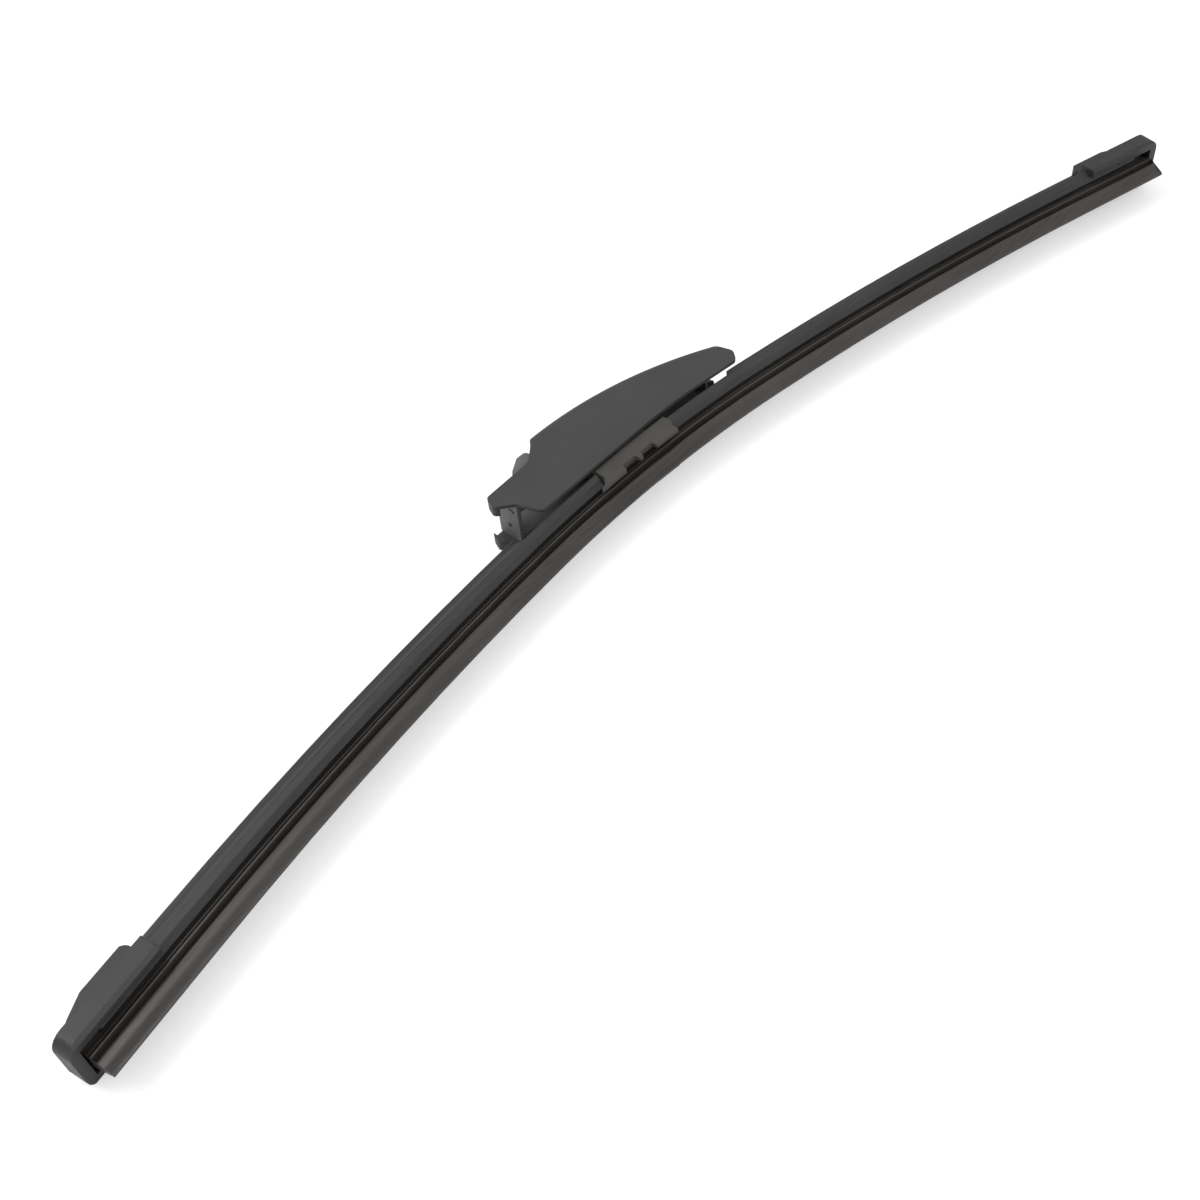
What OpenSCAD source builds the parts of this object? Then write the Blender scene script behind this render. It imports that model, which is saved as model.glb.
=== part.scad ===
// Flat-beam wiper blade with a slim connector, lying on its side on a table.
// X runs along the blade, Y points away from the glass and Z is up, across the blade's width.
// Sections are drawn as [h, w]: h is the height above the rubber's lip, w the place across the blade.

/* [Blade] */
// Length along the lip line, from the outer end of one cap to the outer end of the other
blade_len = 445; // [430:5:520]
// Radius of the lip line over the middle of the unloaded blade
mid_r = 440; // [400:5:900]
// Length of the middle curve on each side of the centre
mid_len = 46; // [44:1:110]
// Radius of the lip line between the middle curve and the straight ends
outer_r = 1160; // [1000:10:2600]
// Straight stretch at each end, which the cap covers
tail_len = 38; // [34:1:50]

/* [Rubber] */
// Thickness of the wiping lip
lip_t = 0.95; // [0.6:0.05:1.1]
// Height of the parallel part of the lip
lip_h = 0.6; // [0.4:0.1:1.5]
// Width over the shoulders of the wiping wedge
shoulder_w = 4.4; // [3.6:0.1:5.4]
// Height of the shoulders above the lip
shoulder_h = 3.9; // [3.4:0.1:4.2]
// Thickness of the tilting neck between wedge and body
neck_t = 1; // [0.7:0.05:1.6]
// Width of the lower flange of the rubber's body
flange_w = 6.4; // [5.6:0.1:7.4]
// Height of the lower flange above the lip
flange_h = 5.8; // [5.5:0.05:5.9]
// Thickness of the lower flange
flange_t = 0.5; // [0.4:0.05:0.6]
// Width of the upper flange, just under the spoiler
rib_w = 6; // [5.4:0.1:7]
// Width of the rubber where it passes the mouth of the spoiler
waist_w = 4.2; // [3:0.1:4.8]
// Thickness of the web between the two spring rails
web_t = 1.5; // [1:0.1:2]
// Width of the rubber's head above the rails
head_w = 6.4; // [5:0.1:8]
// Distance from each end of the rubber to the outer end of its cap
rubber_inset = 3.4; // [3.2:0.1:5]

/* [Spring rails] */
// Width of one rail
rail_w = 3.8; // [3:0.1:3.9]
// Thickness of a rail
rail_t = 0.9; // [0.6:0.05:1.1]
// Clearance of a rail in its groove and beside the spoiler's lips
rail_fit = 0.06; // [0.04:0.01:0.1]
// Distance from each end of a rail to the outer end of its cap
rail_inset = 4.5; // [3.6:0.1:8]

/* [Spoiler] */
// Height of the spoiler's glass-side lips above the rubber's lip
lips_h = 7.85; // [7.7:0.05:8]
// Height of the spoiler's lower outer corners above the rubber's lip
corner_h = 8.8; // [8.6:0.05:9.2]
// Width over the lower outer corners of the spoiler
base_w = 12.6; // [12:0.1:13.4]
// Greatest width of the spoiler
spoiler_w = 14.6; // [13.8:0.1:14.8]
// Height of the spoiler's side edge above the rubber's lip
side_h = 10.8; // [10.6:0.1:11.2]
// Height of the fin's top above the rubber's lip
fin_h = 17.7; // [16:0.1:19]
// Thickness of the fin near its top
fin_t = 2.6; // [2:0.1:3.2]
// Width of the mouth between the lips
mouth_w = 8.1; // [7.6:0.1:8.4]
// Thickness of the lips that hold the rails
lips_t = 1.65; // [1.4:0.05:1.8]
// Width of the channel that holds the rails
channel_w = 9.8; // [9.6:0.1:10.4]
// Depth of that channel
channel_h = 2.1; // [2.05:0.05:2.2]
// Height above the rubber's lip at which the fin is cut off beside the connector
cut_h = 12.2; // [12:0.05:12.3]
// Length over which the cut rises to the full fin
fin_rise = 1.6; // [0.8:0.1:3]
// Place along the blade where the near fin ends
fin_near = -45.5; // [-56:0.5:-45]
// Place along the blade where the far fin starts
fin_far = 40.5; // [39.5:0.5:50]
// Distance from the outer end of a spoiler to the outer end of its cap
spoiler_inset = 9.5; // [9:0.1:12]

/* [End caps] */
// Width of a cap
cap_w = 18; // [17.8:0.1:20]
// Length of a cap
cap_len = 30; // [27:0.5:33]
// Height of the cap's glass-side flange above the rubber's lip
cap_h0 = 7.2; // [7:0.05:7.3]
// Height of the cap's side wall, flange included
cap_side = 5.7; // [5.4:0.1:6.4]
// Wall thickness of a cap
cap_wall = 1.4; // [1.1:0.05:1.45]
// Clearance round the spoiler inside a cap
cap_fit = 0.15; // [0.1:0.05:0.15]
// Width of the slot for the rubber in the flange
slot_w = 11.6; // [10:0.1:11.8]
// Distance from the cap's outer end to that slot
slot_inset = 2.8; // [2.2:0.1:3]
// Chamfer on the lower edges of the cap's side walls
cap_edge = 1; // [0.6:0.1:1.2]
// Width of the fin cover at its top
hood_w = 6.6; // [5.8:0.1:7]
// Radius of the cap's outer corners
cap_r = 4; // [2:0.1:5]
// Distance from the cap's outer end to the foot of the fin cover
hood_foot = 2.5; // [2:0.1:3.5]
// Distance from the cap's outer end to where the fin cover reaches its full height
hood_full = 15; // [12:0.5:18]
// Distance from the cap's inner end to the inner end of the fin cover
hood_back = 2; // [0:0.1:4]

/* [Bracket] */
// Place along the blade of the bracket's near end
bracket_near = -18.7; // [-22:0.1:-17]
// Place along the blade of the bracket's far end
bracket_far = 10.6; // [9:0.1:12]
// Width of the bracket
bracket_w = 15.2; // [15:0.1:15.2]
// Height of the bracket's lower edge above the rubber's lip
claw_h = 4.8; // [4.4:0.1:5.4]
// Thickness of its side walls
claw_t = 1.3; // [1:0.05:1.5]
// How far its foot runs on under the near spoiler
foot_len = 3.8; // [2:0.1:5]
// Height of the bracket's deck above the rubber's lip
deck_h = 12.6; // [12.5:0.1:12.8]
// Place of the two reliefs in the lower edge
relief_x = -5.7; // [-8:0.1:-4]
// Length of each relief
relief_len = 5.1; // [4:0.1:6]
// Pitch of the two reliefs
relief_pitch = 7.1; // [6.6:0.1:8]
// Height of the reliefs in the lower edge
relief_h = 2; // [1:0.1:2.4]
// Depth of the step low down in the bracket's far end
end_step = 0.8; // [0.3:0.1:1.2]
// Gap between the bracket and the ends of the spoilers
end_gap = 0.2; // [0.1:0.05:0.3]

/* [Pivot] */
// Place of the pivot along the blade
pivot_x = -2.5; // [-4:0.5:-1]
// Height of the pivot above the lip in the middle of the blade
pivot_y = 20.6; // [20.2:0.1:21.2]
// Radius of the rivet
rivet_r = 1.6; // [1.2:0.1:2]
// Radial clearance of the rivet in the adapter
rivet_fit = 0.05; // [0.02:0.01:0.1]
// Radius of the rivet's heads
rivet_head_r = 2.8; // [2.4:0.1:3.4]
// Thickness of the rivet's heads
rivet_head_t = 0.5; // [0.3:0.05:0.5]
// Thickness of the bracket's upright lugs
lug_t = 1.1; // [0.9:0.05:1.15]
// Radius of the round top of the lugs
lug_r = 4.6; // [3.8:0.1:5]

/* [Adapter] */
// Width of the channel for the wiper arm
arm_w = 9.2; // [8.8:0.1:9.4]
// Thickness of the adapter's cheeks
cheek_t = 1.2; // [1:0.05:1.25]
// Side clearance between the adapter and the lugs
cheek_fit = 0.15; // [0.1:0.05:0.2]
// Radius of the hub that the arm's hook goes round
hub_r = 4; // [3.4:0.1:4.2]
// Place of the near end plate's outer face
plate_x = -43.3; // [-44:0.1:-42.5]
// Thickness of the end plate
plate_t = 1.3; // [1:0.1:1.8]
// Height of the end plate's lower edge
plate_y0 = 18.3; // [17.8:0.1:19]
// Height of the end plate's upper edge
plate_y1 = 27; // [26.4:0.1:27.4]
// Radius of the small round hole in the end plate
hole_r = 0.8; // [0.5:0.1:1.2]
// Height of the small round hole
hole_y = 22.4; // [21.6:0.1:23.4]
// Distance of the small round hole from the middle plane
hole_w = 2.6; // [1.6:0.1:3.2]
// Place of the far end of the adapter's block
block_x1 = 37; // [34.5:0.5:37]
// Place of the near end of the block
block_x0 = 15.5; // [13.5:0.5:18]
// Height of the block's lower edge at its near end
block_y0 = 15.6; // [15.4:0.1:16.6]
// Height of the block's lower edge at its far end
block_y1 = 17.2; // [17:0.1:17.6]
// Side clearance between the block and the cover
block_fit = 0.1; // [0.05:0.01:0.2]
// Height of the crest of the finger tabs
tab_y = 34; // [33.4:0.1:34.6]

/* [Cover] */
// Width of the cover
cover_w = 18; // [18:0.1:19]
// Wall thickness of the cover
cover_wall = 1.2; // [1.15:0.01:1.2]
// Radius of the roof's curve
roof_r = 132; // [124:1:150]
// Place of the roof's highest point
roof_x = -16; // [-19:0.5:-14]
// Height of the roof's highest point
roof_y = 35.9; // [35.4:0.1:36.4]
// Radius of the edge between roof and sides
roof_edge_r = 3.2; // [2:0.1:4]
// Place of the cover's far tip
cover_far = 45; // [44:0.2:46]
// Place of the tips of the two near tongues
tongue_x = -48; // [-50:0.5:-47.5]
// Height of the upper edge of the tongues
tongue_y = 27; // [26.6:0.1:27.6]
// Height of the skirt's lower edge at its near end
skirt_near = 10.6; // [10.4:0.1:11.4]
// Height of the skirt's lower edge at its far end
skirt_far = 10.9; // [10.6:0.1:11.6]
// Height at which the arch of the skirt's lower edge would come to a point
skirt_mid = 12.9; // [12.4:0.1:13.2]
// Depth of the turned-in lips at the tongue tips
tongue_lip = 2.6; // [1.5:0.1:2.8]
// Depth of the turned-in rim along the curved near edge
rim_depth = 1.6; // [1:0.1:1.7]
// Thickness of that rim
rim_t = 1.3; // [0.9:0.1:1.6]
// Place along the blade where the roof ends, open in the middle so that the fin can pass
roof_end = 37.8; // [37.2:0.1:38.6]
// Width of that opening
roof_open = 11; // [9:0.5:12]

/* [Hidden] */
$fn = 96;
deg = 180 / PI;
eps = 0.01;
outer_len = blade_len / 2 - mid_len - tail_len;
mid_a = mid_len / mid_r * deg;
outer_a = outer_len / outer_r * deg;
end_a = mid_a + outer_a;
tail_l0 = mid_len + outer_len;
// Centre of the outer curve, and where the straight end starts
outer_c = [(mid_r - outer_r) * sin(mid_a), -mid_r + (mid_r - outer_r) * cos(mid_a)];
tail_p = outer_c + outer_r * [sin(end_a), cos(end_a)];
tip_p = tail_p + tail_len * [cos(end_a), -sin(end_a)];
rail_h = lips_h + lips_t + rail_fit;
lip_end_y = tip_p[1] + rubber_inset * sin(end_a);
table_z = max(cap_w, cover_w) / 2;
// Sections of the swept pieces, closer together where the blade curves more
mid_steps = 8;
outer_steps = 8;
half_stations = [for (i = [1:mid_steps]) mid_len * i / mid_steps,
                 for (i = [1:outer_steps]) mid_len + outer_len * i / outer_steps];
stations = [for (i = [len(half_stations) - 1:-1:0]) -half_stations[i], 0, each half_stations];
middle_y = (max(roof_y, tab_y) + lip_end_y) / 2;
cheek_w0 = arm_w / 2;
cheek_w1 = cheek_w0 + cheek_t;
lug_w0 = cheek_w1 + cheek_fit;
lug_w1 = lug_w0 + lug_t;
cover_in = cover_w / 2 - cover_wall;
roof_c = [roof_x, roof_y - roof_r];

// A place l along the lip line as [x, y, slope], and the point at height h above it
function on_lip(l) = let (d = abs(l), a = d < mid_len ? d / mid_r * deg : min(end_a, mid_a + (d - mid_len) / outer_r * deg))
    d < mid_len ? [mid_r * sin(a), mid_r * cos(a) - mid_r, a] :
    d < tail_l0 ? [outer_c[0] + outer_r * sin(a), outer_c[1] + outer_r * cos(a), a] :
    [tail_p[0] + (d - tail_l0) * cos(a), tail_p[1] - (d - tail_l0) * sin(a), a];
function above_lip(l, h) = let (p = on_lip(l)) [(l < 0 ? -1 : 1) * (p[0] + h * sin(p[2])), p[1] + h * cos(p[2])];
function roof_at(x, inset = 0) = roof_c[1] + sqrt(pow(roof_r - inset, 2) - pow(x - roof_x, 2));

// Outlines: a half outline is mirrored across the blade, and corners [x, y, r] are rounded
function both_sides(half) = concat(half, [for (i = [len(half) - 1:-1:0]) [half[i][0], -half[i][1]]]);
function unit(v) = v / norm(v);
function corner(a, b, c, r, n) =
    r <= 0 ? [b] :
    let (u = unit(a - b), v = unit(c - b), half = acos(u * v) / 2, m = b + unit(u + v) * r / sin(half),
         p = b + u * r / tan(half) - m, q = b + v * r / tan(half) - m,
         a0 = atan2(p[1], p[0]), turn = atan2(p[0] * q[1] - p[1] * q[0], p * q))
    [for (i = [0:n]) m + r * [cos(a0 + turn * i / n), sin(a0 + turn * i / n)]];
function rounded(pts, n = 5) =
    [for (i = [0:len(pts) - 1])
        let (a = pts[(i + len(pts) - 1) % len(pts)], b = pts[i], c = pts[(i + 1) % len(pts)])
        each corner([a[0], a[1]], [b[0], b[1]], [c[0], c[1]], b[2], n)];

// Joins the sections [h, w] at the places ls along the blade into one solid
function between(l0, l1) = [l0, for (l = stations) if (l > l0 + 1 && l < l1 - 1) l, l1];
module sweep(ls, sections) {
    n = len(sections[0]);
    m = len(ls) - 1;
    polyhedron(
        [for (i = [0:m]) for (p = sections[i]) let (q = above_lip(ls[i], p[0])) [q[0], q[1], p[1]]],
        concat([[for (j = [n - 1:-1:0]) j]], [[for (j = [0:n - 1]) m * n + j]],
            [for (i = [0:m - 1]) for (j = [0:n - 1]) let (k = (j + 1) % n)
                each [[i * n + j, i * n + k, (i + 1) * n + k], [i * n + j, (i + 1) * n + k, (i + 1) * n + j]]]));
}
module sweep_one(inset, section) {
    ls = between(inset - blade_len / 2, blade_len / 2 - inset);
    sweep(ls, [for (l = ls) section]);
}
// Sweeps a section exactly, within the middle curve
module along(l0, l1) translate([0, -mid_r, 0]) rotate([0, 0, 90 - l1 / mid_r * deg])
    rotate_extrude(angle = (l1 - l0) / mid_r * deg, $fn = 1440) translate([mid_r, 0]) children();
// The outer end of the blade: X points outwards, Y away from the glass, and X is 0 at the cap's end
module at_tip() translate(tip_p) rotate([0, 0, -end_a]) children();
module along_tip(x0, x1) translate([x0, 0, 0]) rotate([90, 0, 90]) linear_extrude(x1 - x0) children();
// A plan in X and w, raised between two heights
module rise(y0, y1) translate([0, y1, 0]) rotate([90, 0, 0]) linear_extrude(y1 - y0) children();
// A side view in X and Y, as thick as given, centred or between two places across the blade
module slab(w0, w1) translate([0, 0, w0]) linear_extrude(w1 - w0) children();
module pair() {
    children();
    mirror([0, 0, 1]) children();
}
// Lays the blade on its side with the middle of its outline over the origin
module lay() translate([0, -middle_y, table_z]) children();
module near_end() mirror([1, 0, 0]) children();

// Rubber refill: lip, wedge with hollow flanks, neck, flanges, rail grooves and head
wedge_steps = 7;
function wedge(i) = let (t = i / wedge_steps)
    [lip_h + (shoulder_h - lip_h) * t, lip_t / 2 + (shoulder_w - lip_t) / 2 * (0.35 * t + 0.65 * pow(t, 2.4))];
rubber_section = both_sides(concat(
    [[0, lip_t / 2 - 0.1], [0.15, lip_t / 2]],
    [for (i = [0:wedge_steps]) wedge(i)],
    [[shoulder_h + 0.5, shoulder_w / 2], [shoulder_h + 0.9, neck_t / 2], [flange_h, neck_t / 2],
     [flange_h, flange_w / 2 - 0.15], [flange_h + 0.15, flange_w / 2], [flange_h + flange_t, flange_w / 2],
     [flange_h + flange_t, waist_w / 2], [lips_h - 1, waist_w / 2], [lips_h - 1, rib_w / 2],
     [lips_h - 0.5, rib_w / 2], [lips_h - 0.5, waist_w / 2], [rail_h - rail_fit, waist_w / 2],
     [rail_h - rail_fit, web_t / 2], [rail_h + rail_t + rail_fit, web_t / 2],
     [rail_h + rail_t + rail_fit, head_w / 2],
     [lips_h + lips_t + channel_h - 0.4, head_w / 2 - 0.2], [lips_h + lips_t + channel_h - 0.1, head_w / 2 - 1]]));
module squeegee() color([0.17, 0.165, 0.16]) lay()
    sweep_one(rubber_inset, rubber_section);

// Spring steel rails, in the grooves beside the web
rail_w0 = web_t / 2 + rail_fit;
rail_section = [[rail_h, rail_w0], [rail_h, rail_w0 + rail_w],
                [rail_h + rail_t, rail_w0 + rail_w], [rail_h + rail_t, rail_w0]];
module rail() sweep_one(rail_inset, rail_section);
module rail_upper() color([0.3, 0.3, 0.31]) lay() rail();
module rail_lower() color([0.3, 0.3, 0.31]) lay() mirror([0, 0, 1]) rail();

// Spoiler: lips, channel, side edge and a fin with hollow flanks
fin_steps = 9;
function fin_w(t) = fin_t / 2 + (spoiler_w - fin_t) / 2 * pow(1 - t, 2.4);
function spoiler_half(grow) = concat(
    [[lips_h - grow, mouth_w / 2 + 0.3], [corner_h - grow, base_w / 2 - 0.15 + grow],
     [corner_h + 0.25, base_w / 2 + grow], [side_h - 0.5, spoiler_w / 2 + grow]],
    [for (i = [0:fin_steps]) let (t = i / fin_steps) [side_h + (fin_h - 0.5 - side_h) * t, fin_w(t) + grow]],
    [[fin_h - 0.15 + grow, fin_t / 2 - 0.35 + grow], [fin_h + grow, fin_t / 2 - 0.8 + grow]]);
function channel(h) = [[lips_h + lips_t + channel_h, channel_w / 2], [lips_h + lips_t, channel_w / 2],
                        [lips_h + lips_t, mouth_w / 2], [h, mouth_w / 2]];
spoiler_full = both_sides(concat(channel(lips_h), spoiler_half(0)));
// The cut leaves a slightly crowned top
function spoiler_section(top) = [for (p = spoiler_full) [min(p[0], top - 0.004 * p[1] * p[1]), p[1]]];
module spoiler(ls, fin_l0, side) color([0.2, 0.2, 0.205]) lay()
    sweep(ls, [for (l = ls) spoiler_section((l - fin_l0) * side > 0 ? fin_h + 1 : cut_h)]);
module spoiler_far() spoiler(concat(between(bracket_far + end_gap, fin_far),
    between(fin_far + fin_rise, blade_len / 2 - spoiler_inset)), fin_far, 1);
module spoiler_near() spoiler(concat(between(spoiler_inset - blade_len / 2, fin_near - fin_rise),
    between(fin_near, bracket_near - end_gap)), fin_near, -1);

// End cap: a slotted flange under the lips, side walls, a closed end and a cover over the fin
module cap_plan() polygon(rounded([[-cap_len, -cap_w / 2, 0.6], [0, -cap_w / 2, cap_r],
                                   [0, cap_w / 2, cap_r], [-cap_len, cap_w / 2, 0.6]]));
hood_h = fin_h + cap_fit + cap_wall;
module hood_side() polygon(rounded([[-cap_len + hood_back, cap_h0 + 2, 0], [-hood_foot, cap_h0 + 2, 0],
    [-hood_foot, cap_h0 + cap_side - 0.3, 1], [-hood_foot - 4, hood_h - 2.6, 4], [-hood_full, hood_h + 0.3, 10],
    [-cap_len + hood_back, hood_h + 0.3, 3]]));
hood_section = both_sides([for (p = spoiler_half(cap_fit + cap_wall))
    [p[0], max(p[1], hood_w / 2 - (p[0] > hood_h - 0.1 ? 0.6 : 0))]]);
module cap() color([0.21, 0.21, 0.215]) difference() {
    union() {
        intersection() {
            rise(cap_h0, cap_h0 + cap_side) cap_plan();
            along_tip(-cap_len - 1, 1) polygon(both_sides([[cap_h0 - 0.1, cap_w / 2 - cap_edge - 0.1],
                [cap_h0 + cap_edge, cap_w / 2], [cap_h0 + cap_side + 1, cap_w / 2]]));
        }
        intersection() {
            along_tip(-cap_len, 0) polygon(hood_section);
            slab(-cap_w / 2, cap_w / 2) hood_side();
        }
    }
    // Room for the spoiler, and beyond its end for rails and rubber
    along_tip(-cap_len - 1, cap_fit - spoiler_inset) polygon(both_sides(spoiler_half(cap_fit)));
    along_tip(-spoiler_inset, 0.2 - slot_inset) translate([lips_h - cap_fit, -channel_w / 2])
        square([lips_t + channel_h + cap_fit, channel_w]);
    // Slot for the rubber, with a latch relief at its edge
    along_tip(-cap_len - 1, -slot_inset) translate([cap_h0 - 1, -slot_w / 2]) square([3, slot_w]);
    pair() translate([-cap_len / 2 - 4, cap_h0 - 1, slot_w / 2 - 1]) cube([1.2, 1.9, 1.8]);
}
module cap_far() lay() at_tip() cap();
module cap_near() lay() near_end() at_tip() cap();

// Bracket: a channel that clamps the rails, its deck and two lugs for the rivet
module bracket_section() polygon(both_sides(concat(
    [[lips_h + lips_t + channel_h, channel_w / 2], [lips_h + lips_t, channel_w / 2], [lips_h + lips_t, mouth_w / 2],
     [lips_h, mouth_w / 2], [lips_h, bracket_w / 2 - claw_t], [claw_h, bracket_w / 2 - claw_t]],
    [[claw_h, bracket_w / 2 - 0.3], [claw_h + 0.5, bracket_w / 2], [deck_h - 1, bracket_w / 2],
     [deck_h, bracket_w / 2 - 0.8]])));
module bracket_side() polygon([[bracket_near - foot_len, claw_h - 1.6], [bracket_far - end_step, claw_h - 1.6],
    [bracket_far - end_step, lips_h - 0.4], [bracket_far + 1, lips_h + 1.2], [bracket_far + 1, deck_h + 1],
    [bracket_near, deck_h + 1], [bracket_near, lips_h - 0.5], [bracket_near - 1.8, claw_h + 0.6],
    [bracket_near - foot_len, claw_h - 0.2]]);
// A relief with slanted ends
module relief_side() polygon([[-relief_len / 2 - 0.8, claw_h - 1.6], [relief_len / 2 + 0.8, claw_h - 1.6],
    [relief_len / 2, claw_h + relief_h], [-relief_len / 2, claw_h + relief_h]]);
module lug_side() {
    translate([pivot_x, pivot_y]) circle(lug_r);
    polygon([[pivot_x - lug_r - 1.6, deck_h - 1.2], [pivot_x + lug_r + 1.6, deck_h - 1.2],
             [pivot_x + lug_r, pivot_y], [pivot_x - lug_r, pivot_y]]);
}
module bracket() color([0.25, 0.245, 0.235]) lay() difference() {
    union() {
        intersection() {
            along(bracket_near - foot_len - 1, bracket_far) bracket_section();
            slab(-bracket_w, bracket_w) bracket_side();
        }
        pair() slab(lug_w0, lug_w1) lug_side();
    }
    translate([pivot_x, pivot_y, -lug_w1 - 1]) cylinder(r = rivet_r, h = 2 * lug_w1 + 2);
    for (i = [-1, 1]) pair()
        translate([relief_x + i * relief_pitch / 2, 0, 0]) slab(bracket_w / 2 - claw_t - 0.5, bracket_w / 2 + 1) relief_side();
}

// Rivet: pressed into the lugs, with a head at each side
module rivet() color([0.45, 0.45, 0.46]) lay() translate([pivot_x, pivot_y, 0]) {
    translate([0, 0, -lug_w1]) cylinder(r = rivet_r, h = 2 * lug_w1);
    pair() translate([0, 0, lug_w1]) cylinder(r1 = rivet_head_r, r2 = rivet_head_r - 0.3, h = rivet_head_t);
}

// Adapter: cheeks on both sides of the arm's channel, hub, end plate and the block that carries the cover
module cheek_side() polygon(rounded([[plate_x, plate_y0, 0.6], [-23.5, 16.3, 3], [pivot_x - 2, pivot_y - hub_r - 1.4, 3],
    [block_x0 + 1, block_y0, 0], [block_x0 + 1, 28.6, 2], [-3.5, 32.2, 6], [-24.4, 31.4, 0.6], [-24.9, tab_y, 1.2],
    [-28.4, tab_y, 2], [-33, 31, 2], [-36, 27.6, 3], [-38.4, plate_y1 - 0.6, 2], [plate_x, plate_y1 - 0.6, 0.6]]));
module block_side() polygon(rounded([[block_x0, block_y0, 0.5], [block_x1, block_y1, 0.5],
    [block_x1, roof_y, 0], [block_x0, roof_y, 0]]));
block_w = cover_in - block_fit;
module adapter() color([0.35, 0.35, 0.35]) lay() difference() {
    union() {
        pair() slab(cheek_w0, cheek_w1) cheek_side();
        translate([pivot_x, pivot_y, -cheek_w0 - eps]) cylinder(r = hub_r, h = 2 * cheek_w0 + 2 * eps);
        translate([plate_x, plate_y0, -block_w]) cube([plate_t, plate_y1 - plate_y0, 2 * block_w]);
        intersection() {
            slab(-block_w, block_w) block_side();
            translate([roof_c[0], roof_c[1], 0]) rotate([0, 0, 45]) rotate_extrude(angle = 50, $fn = 360)
                roof_tunnel(roof_r - cover_wall - 0.2, block_w, roof_edge_r - cover_wall);
        }
    }
    // The block is hollow: room for the end of the arm's hook
    slab(-cheek_w0, cheek_w0) polygon([[block_x0 - 1, 10], [block_x1 - 1.4, 10],
        [block_x1 - 1.4, roof_at(block_x1) - 2 * cover_wall - 1], [block_x0 - 1, roof_at(block_x0) - 2 * cover_wall - 1]]);
    pair() slab(cheek_w1, block_w - 1.2) polygon([[block_x0 + 1.2, 10], [block_x1 - 1.4, 10],
        [block_x1 - 1.4, roof_at(block_x1) - 2 * cover_wall - 1.4], [block_x0 + 1.2, roof_at(block_x0) - 2 * cover_wall - 1.4]]);
    translate([pivot_x, pivot_y, -cheek_w1 - 1]) cylinder(r = rivet_r + rivet_fit, h = 2 * cheek_w1 + 2);
    // Small hole and slot in the end plate
    translate([plate_x - 1, hole_y, -hole_w]) rotate([0, 90, 0]) cylinder(r = hole_r, h = plate_t + 2);
    translate([plate_x - 1, hole_y - 2.6, hole_w + 1.4]) rotate([20, 0, 0]) translate([0, 0, -0.4]) cube([plate_t + 2, 2, 0.8]);
}

// Cover: a thin hood with a curved roof, open below and at both ends
module roof_tunnel(r, half_w, edge) polygon([for (p = rounded([[r - 40, half_w, 0], [r, half_w, edge],
    [r, -half_w, edge], [r - 40, -half_w, 0]], 6)) p]);
module roof_sweep(inset) translate([roof_c[0], roof_c[1], 0]) rotate([0, 0, 45])
    rotate_extrude(angle = 75, $fn = 360) roof_tunnel(roof_r - inset, cover_w / 2 - inset, roof_edge_r - inset);
module cover_side() polygon(rounded([[-40.3, skirt_near, 2], [16, skirt_mid, 200], [cover_far - 2.4, skirt_far - 0.3, 2.2],
    [cover_far + 0.2, 14, 2.5], [cover_far - 2, 21.5, 5], [cover_far - 12, roof_y + 6, 0],
    [-20.8, roof_y + 6, 0], [-21.2, 34.6, 2.5], [-29.2, tongue_y + 0.6, 6], [tongue_x + 0.9, tongue_y - 0.6, 1.6],
    [tongue_x - 0.6, tongue_y - 4.7, 1.4], [-43.3, 18.2, 3]]));
// The turned-in rim: what lies within its thickness of the curved near edge
module rim_side() intersection() {
    difference() {
        cover_side();
        translate([rim_t * 0.65, -rim_t * 0.75]) cover_side();
    }
    polygon([[-40.5, tongue_y - 3], [-24, tongue_y - 3], [-19, roof_y - 3], [-19, roof_y + 1], [-40.5, roof_y + 1]]);
}
module cover() color([0.2, 0.2, 0.2]) lay() difference() {
    intersection() {
        roof_sweep(0);
        slab(-cover_w / 2, cover_w / 2) cover_side();
    }
    difference() {
        roof_sweep(cover_wall);
        pair() translate([tongue_x - 2, tongue_y - 6, cover_in - tongue_lip])
            cube([3, 7, tongue_lip + 1]);
        pair() slab(cover_in - rim_depth, cover_in + 1) rim_side();
    }
    // Opening in the far end of the roof
    rise(skirt_far, roof_y) polygon(rounded([[roof_end, -roof_open / 2, 4], [cover_far + 2, -roof_open / 2, 0],
        [cover_far + 2, roof_open / 2, 0], [roof_end, roof_open / 2, 4]]));
}

squeegee();
rail_upper();
rail_lower();
spoiler_near();
spoiler_far();
cap_near();
cap_far();
bracket();
rivet();
adapter();
cover();
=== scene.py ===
import math
import bpy
from mathutils import Matrix, Vector

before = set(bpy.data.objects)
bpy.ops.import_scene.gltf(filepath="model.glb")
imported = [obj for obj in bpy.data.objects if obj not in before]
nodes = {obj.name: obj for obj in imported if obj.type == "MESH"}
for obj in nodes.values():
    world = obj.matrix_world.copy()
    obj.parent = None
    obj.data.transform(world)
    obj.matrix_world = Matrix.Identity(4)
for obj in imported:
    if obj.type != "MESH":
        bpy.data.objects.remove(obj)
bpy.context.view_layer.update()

scene = bpy.context.scene

# Fineness of the textures, in features per metre
CLOUDS = 60
GRAIN = 3200
STREAKS = 1400
PATCHES = 35
PORES = 4200
BRUSH_LINES = 2500
# Stretches a texture along the blade
ALONG_BLADE = (0.02, 1, 1)
# The part of a noise's range that is spread over the whole effect
NOISE_LOW = 0.3
NOISE_HIGH = 0.7
# Bloom shows only where the patches are strong, and never covers more than half
BLOOM_LOW = 0.45
BLOOM_HIGH = 0.8
BLOOM_MOST = 0.5
BLOOM_GAIN = 1.35

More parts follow.
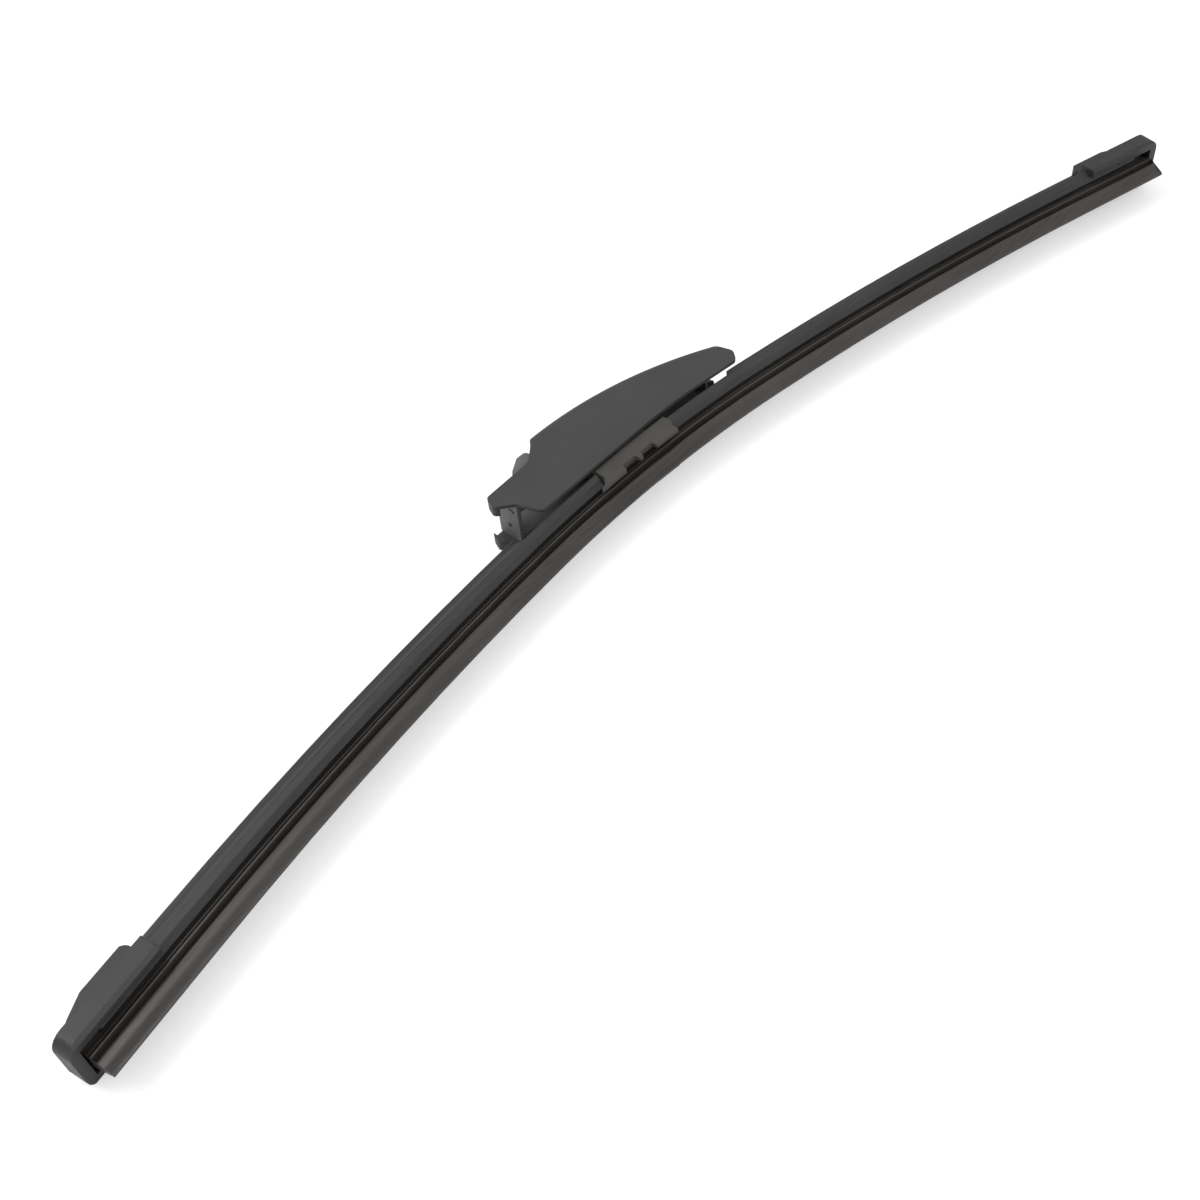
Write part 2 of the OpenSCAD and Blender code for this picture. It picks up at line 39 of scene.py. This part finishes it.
# Depth of the surface textures, in metres
CLOUD_DEPTH = 0.0002
GRAIN_DEPTH = 0.00002
STREAK_DEPTH = 0.00003
PORE_DEPTH = 0.00001
BRUSH_DEPTH = 0.00001

# Width of the rounded edges on each kind of piece, in metres
EDGE = {"squeegee": 0.00007, "rail": 0.00010, "spoiler": 0.00020, "cap": 0.00055,
        "bracket": 0.00025, "rivet": 0.00015, "adapter": 0.00020, "cover": 0.00045}
EDGE_SEGMENTS = 2
SHARPEST_SMOOTH = math.radians(32)
WELD_REACH = 0.000002

FLOOR_HALF = 3.0
FLOOR_DROP = 0.0001
FLOOR_WHITE = 0.86
# Light added to the floor for the camera alone, so that it reads as white
FLOOR_LIFT = 0.42
SKY_STRENGTH = 0.62

# Camera fitted to the photograph: a 44.5 mm lens, looking down 49 degrees from the near left
LENS = 44.49
SENSOR = 36.0
CAMERA_PLACE = (-0.221639, -0.218324, 0.314302)
CAMERA_RIGHT = (0.692206, -0.718006, -0.072924)
CAMERA_FORWARD = (0.429840, 0.491332, -0.757516)


# Shader helpers
def new_material(name):
    m = bpy.data.materials.new(name)
    m.use_nodes = True
    nt = m.node_tree
    nt.nodes.clear()
    out = nt.nodes.new("ShaderNodeOutputMaterial")
    shader = nt.nodes.new("ShaderNodeBsdfPrincipled")
    nt.links.new(shader.outputs["BSDF"], out.inputs["Surface"])
    return m, nt, shader


def noise(nt, scale, detail, rough, stretch=(1, 1, 1)):
    """Noise in the object's own metres; scale is in features per metre."""
    coord = nt.nodes.new("ShaderNodeTexCoord")
    mapping = nt.nodes.new("ShaderNodeMapping")
    mapping.inputs["Scale"].default_value = stretch
    tex = nt.nodes.new("ShaderNodeTexNoise")
    tex.inputs["Scale"].default_value = scale
    tex.inputs["Detail"].default_value = detail
    tex.inputs["Roughness"].default_value = rough
    nt.links.new(coord.outputs["Object"], mapping.inputs["Vector"])
    nt.links.new(mapping.outputs["Vector"], tex.inputs["Vector"])
    return tex.outputs["Fac"]


def remap(nt, value, out_lo, out_hi, lo=NOISE_LOW, hi=NOISE_HIGH):
    node = nt.nodes.new("ShaderNodeMapRange")
    node.inputs["From Min"].default_value = lo
    node.inputs["From Max"].default_value = hi
    node.inputs["To Min"].default_value = out_lo
    node.inputs["To Max"].default_value = out_hi
    nt.links.new(value, node.inputs["Value"])
    return node.outputs["Result"]


def mix_colour(nt, fac, a, b):
    """Mixes two colours, each a tuple or another shader's output."""
    node = nt.nodes.new("ShaderNodeMix")
    node.data_type = "RGBA"
    for socket, value in (("A", a), ("B", b)):
        s = [i for i in node.inputs if i.name == socket and i.type == "RGBA"][0]
        if isinstance(value, tuple):
            s.default_value = (*value, 1.0)
        else:
            nt.links.new(value, s)
    nt.links.new(fac, node.inputs[0])
    return [o for o in node.outputs if o.type == "RGBA"][0]


def bump(nt, shader, height, strength, distance, under=None):
    node = nt.nodes.new("ShaderNodeBump")
    node.inputs["Strength"].default_value = strength
    node.inputs["Distance"].default_value = distance
    nt.links.new(height, node.inputs["Height"])
    if under is not None:
        nt.links.new(under, node.inputs["Normal"])
    nt.links.new(node.outputs["Normal"], shader.inputs["Normal"])
    return node.outputs["Normal"]


# Materials
def moulded(name, dark, light, rough):
    """Moulded plastic with a fine spark-eroded grain and slightly uneven gloss."""
    m, nt, s = new_material(name)
    cloud = noise(nt, CLOUDS, 3.0, 0.6)
    fine = noise(nt, GRAIN, 1.5, 0.55)
    tint = mix_colour(nt, remap(nt, cloud, 0, 1), dark, light)
    nt.links.new(tint, s.inputs["Base Color"])
    nt.links.new(remap(nt, fine, *rough), s.inputs["Roughness"])
    wave = bump(nt, s, cloud, 0.15, CLOUD_DEPTH)
    bump(nt, s, fine, 0.35, GRAIN_DEPTH, wave)
    return m


def extruded(name, dark, light, rough):
    """Extruded elastomer: faint streaks along the blade, fine pores and a little bloom."""
    m, nt, s = new_material(name)
    lines = noise(nt, STREAKS, 2.0, 0.6, ALONG_BLADE)
    patch = noise(nt, PATCHES, 3.0, 0.55)
    pores = noise(nt, PORES, 1.0, 0.5)
    tint = mix_colour(nt, remap(nt, lines, 0, 1), dark, light)
    bloom = tuple(min(1.0, c * BLOOM_GAIN) for c in light)
    cover = remap(nt, patch, 0, BLOOM_MOST, BLOOM_LOW, BLOOM_HIGH)
    nt.links.new(mix_colour(nt, cover, tint, bloom), s.inputs["Base Color"])
    nt.links.new(remap(nt, patch, *rough), s.inputs["Roughness"])
    along = bump(nt, s, lines, 0.25, STREAK_DEPTH)
    bump(nt, s, pores, 0.3, PORE_DEPTH, along)
    return m


def brushed(name, dark, light, rough, metallic):
    """Drawn or plated metal with fine lines along the blade."""
    m, nt, s = new_material(name)
    lines = noise(nt, BRUSH_LINES, 2.0, 0.6, ALONG_BLADE)
    nt.links.new(mix_colour(nt, lines, dark, light), s.inputs["Base Color"])
    nt.links.new(remap(nt, lines, *rough), s.inputs["Roughness"])
    s.inputs["Metallic"].default_value = metallic
    bump(nt, s, lines, 0.2, BRUSH_DEPTH)
    return m


# By the first word of a node's name: its darkest and lightest colour, and its range of roughness
MATERIALS = {
    "squeegee": extruded("wiping_rubber", (0.034, 0.031, 0.028), (0.052, 0.048, 0.044), (0.30, 0.40)),
    "rail": brushed("spring_steel", (0.03, 0.03, 0.03), (0.07, 0.07, 0.07), (0.35, 0.5), 0.3),
    "spoiler": extruded("spoiler_rubber", (0.022, 0.022, 0.023), (0.031, 0.031, 0.032), (0.36, 0.46)),
    "cap": moulded("cap_plastic", (0.024, 0.024, 0.025), (0.032, 0.032, 0.033), (0.38, 0.5)),
    "bracket": moulded("bracket_plastic", (0.056, 0.052, 0.047), (0.070, 0.065, 0.059), (0.5, 0.62)),
    "rivet": brushed("rivet_steel", (0.30, 0.30, 0.31), (0.42, 0.42, 0.43), (0.3, 0.45), 1.0),
    "adapter": moulded("adapter_plastic", (0.135, 0.135, 0.135), (0.160, 0.160, 0.158), (0.45, 0.6)),
    "cover": moulded("cover_plastic", (0.042, 0.042, 0.042), (0.050, 0.050, 0.050), (0.45, 0.58)),
}


def dress(obj, kind):
    """Gives a CAD piece its material and rounded edges; its shape stays the CAD's."""
    obj.data.materials.clear()
    obj.data.materials.append(MATERIALS[kind])
    for poly in obj.data.polygons:
        poly.use_smooth = True
    weld = obj.modifiers.new("weld", "WELD")
    weld.merge_threshold = WELD_REACH
    bevel = obj.modifiers.new("edge", "BEVEL")
    bevel.width = EDGE[kind]
    bevel.segments = EDGE_SEGMENTS
    bevel.limit_method = "ANGLE"
    bevel.angle_limit = SHARPEST_SMOOTH
    bevel.harden_normals = True
    normals = obj.modifiers.new("normals", "WEIGHTED_NORMAL")
    normals.keep_sharp = True


for name, obj in nodes.items():
    dress(obj, name.split("_")[0])


# Stage and light
def floor_material():
    m = bpy.data.materials.new("floor_white")
    m.use_nodes = True
    nt = m.node_tree
    nt.nodes.clear()
    out = nt.nodes.new("ShaderNodeOutputMaterial")
    diffuse = nt.nodes.new("ShaderNodeBsdfDiffuse")
    diffuse.inputs["Color"].default_value = (FLOOR_WHITE, FLOOR_WHITE, FLOOR_WHITE, 1)
    glow = nt.nodes.new("ShaderNodeEmission")
    glow.inputs["Color"].default_value = (1, 1, 1, 1)
    path = nt.nodes.new("ShaderNodeLightPath")
    lift = nt.nodes.new("ShaderNodeMath")
    lift.operation = "MULTIPLY"
    lift.inputs[1].default_value = FLOOR_LIFT
    add = nt.nodes.new("ShaderNodeAddShader")
    nt.links.new(path.outputs["Is Camera Ray"], lift.inputs[0])
    nt.links.new(lift.outputs[0], glow.inputs["Strength"])
    nt.links.new(diffuse.outputs[0], add.inputs[0])
    nt.links.new(glow.outputs[0], add.inputs[1])
    nt.links.new(add.outputs[0], out.inputs["Surface"])
    return m


def floor():
    mesh = bpy.data.meshes.new("floor")
    corners = [(x * FLOOR_HALF, y * FLOOR_HALF, 0) for x, y in ((-1, -1), (1, -1), (1, 1), (-1, 1))]
    mesh.from_pydata(corners, [], [(0, 1, 2, 3)])
    obj = bpy.data.objects.new("floor", mesh)
    scene.collection.objects.link(obj)
    obj.location.z = -FLOOR_DROP
    mesh.materials.append(floor_material())


def lamp(name, at, size, watts):
    """A round soft lamp that points at the middle of the part."""
    data = bpy.data.lights.new(name, "AREA")
    data.shape = "DISK"
    data.size = size
    data.energy = watts
    obj = bpy.data.objects.new(name, data)
    obj.location = at
    obj.rotation_euler = (-Vector(at)).to_track_quat("-Z", "Y").to_euler()
    scene.collection.objects.link(obj)


def sky():
    world = bpy.data.worlds.new("studio")
    scene.world = world
    world.use_nodes = True
    background = world.node_tree.nodes["Background"]
    background.inputs["Color"].default_value = (1, 1, 1, 1)
    background.inputs["Strength"].default_value = SKY_STRENGTH


def camera():
    forward = Vector(CAMERA_FORWARD).normalized()
    up = Vector(CAMERA_RIGHT).cross(forward).normalized()
    right = forward.cross(up).normalized()
    data = bpy.data.cameras.new("camera")
    data.lens = LENS
    data.sensor_width = SENSOR
    data.clip_start = 0.01
    data.clip_end = 10.0
    obj = bpy.data.objects.new("camera", data)
    turn = Matrix((right, up, -forward)).transposed().to_4x4()
    obj.matrix_world = Matrix.Translation(CAMERA_PLACE) @ turn
    scene.collection.objects.link(obj)
    scene.camera = obj


sky()
floor()
lamp("key", (-0.50, 0.62, 0.95), 1.0, 6.0)
lamp("soft", (0.10, -0.75, 0.80), 0.45, 2.2)
scene.view_settings.view_transform = "Standard"
camera()
